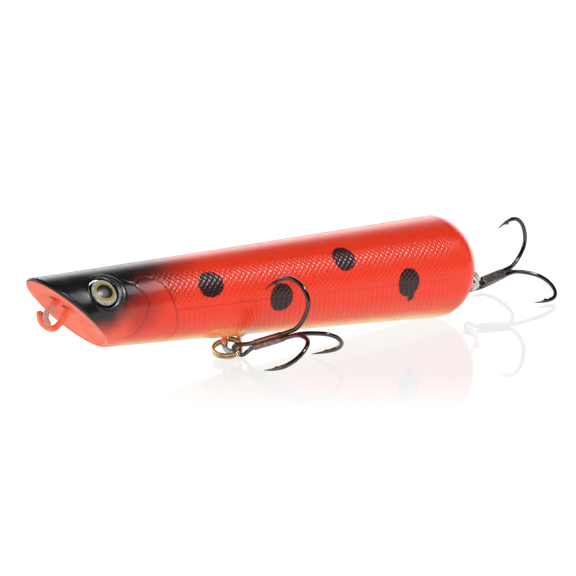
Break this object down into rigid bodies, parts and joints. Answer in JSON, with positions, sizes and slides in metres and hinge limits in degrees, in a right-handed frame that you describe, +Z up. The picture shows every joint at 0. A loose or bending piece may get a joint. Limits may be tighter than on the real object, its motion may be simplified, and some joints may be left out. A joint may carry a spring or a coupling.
{
  "type": "topwater popper lure",
  "caption": "Slim round-bodied surface fishing lure with a slanted cupped mouth, wire line tie, split rings and treble hooks under the belly and at the tail.",
  "frame": {"origin": "centre of the line tie's eye, the point where the line is fastened", "axes": "+X towards the tail, +Z up as the lure lies on a table, -Y on the lure's left, the side the belly treble lies on"},
  "size_m": [0.1345, 0.0356, 0.0216],
  "materials": {
    "body_paint": "moulded scale relief under glossy red-orange paint with a black head, black spots and a pale yellow belly",
    "painted_wire": "steel wire under worn orange-red paint",
    "eye_wire": "bright drawn stainless wire",
    "eye_foil": "pearly holographic disc with a gold ring",
    "eye_lens": "clear glossy dome over a black pupil",
    "ballast": "plain turned slug",
    "ball_steel": "polished ball",
    "ring_gold": "gold-plated spring wire",
    "ring_nickel": "champagne nickel-plated spring wire",
    "hook_black_nickel": "dark glossy black-nickel plating"
  },
  "bodies": {
    "lure_body": {"left_shell": "body_paint", "right_shell": "body_paint", "line_tie": "painted_wire", "belly_hanger": "eye_wire", "tail_hanger": "eye_wire", "left_eye_foil": "eye_foil", "left_eye_lens": "eye_lens", "right_eye_foil": "eye_foil", "right_eye_lens": "eye_lens", "keel_weight": "ballast", "tail_weight": "ballast"},
    "belly_ring": {"belly_split_ring": "ring_gold"},
    "belly_treble": {"belly_treble_pair": "hook_black_nickel", "belly_treble_single": "hook_black_nickel"},
    "tail_ring": {"tail_split_ring": "ring_nickel"},
    "tail_treble": {"tail_treble_pair": "hook_black_nickel", "tail_treble_single": "hook_black_nickel"},
    "front_ball": {"rattle_ball_front": "ball_steel"},
    "middle_ball": {"rattle_ball_middle": "ball_steel"},
    "rear_ball": {"rattle_ball_rear": "ball_steel"}
  },
  "joints": [
    {"name": "belly_ring_swing", "type": "hinge", "parent": "lure_body", "child": "belly_ring", "pos_m": [0.04422, 0, -0.01073], "axis": [0, 1, 0], "range_deg": [-38, 10]},
    {"name": "belly_treble_swing", "type": "hinge", "parent": "belly_ring", "child": "belly_treble", "pos_m": [0.04362, -0.0031, -0.0117], "axis": [0.7884, 0.3977, 0.4693], "range_deg": [0, 110]},
    {"name": "tail_ring_swing", "type": "hinge", "parent": "lure_body", "child": "tail_ring", "pos_m": [0.10707, 0, -0.00345], "axis": [0, 1, 0], "range_deg": [-45, 30]},
    {"name": "tail_treble_swing", "type": "hinge", "parent": "tail_ring", "child": "tail_treble", "pos_m": [0.11002, 0.0009, -0.0088], "axis": [-0.1616, 0.8508, 0.5], "range_deg": [-40, 80]},
    {"name": "front_ball_roll", "type": "slide", "parent": "lure_body", "child": "front_ball", "axis": [-0.9992, 0, 0.0401], "range_m": [0, 0.0053]},
    {"name": "middle_ball_roll", "type": "slide", "parent": "lure_body", "child": "middle_ball", "axis": [-0.9992, 0, 0.0401], "range_m": [0, 0.0053]},
    {"name": "rear_ball_roll", "type": "slide", "parent": "lure_body", "child": "rear_ball", "axis": [-0.9992, 0, 0.0401], "range_m": [0, 0.0053]}
  ]
}
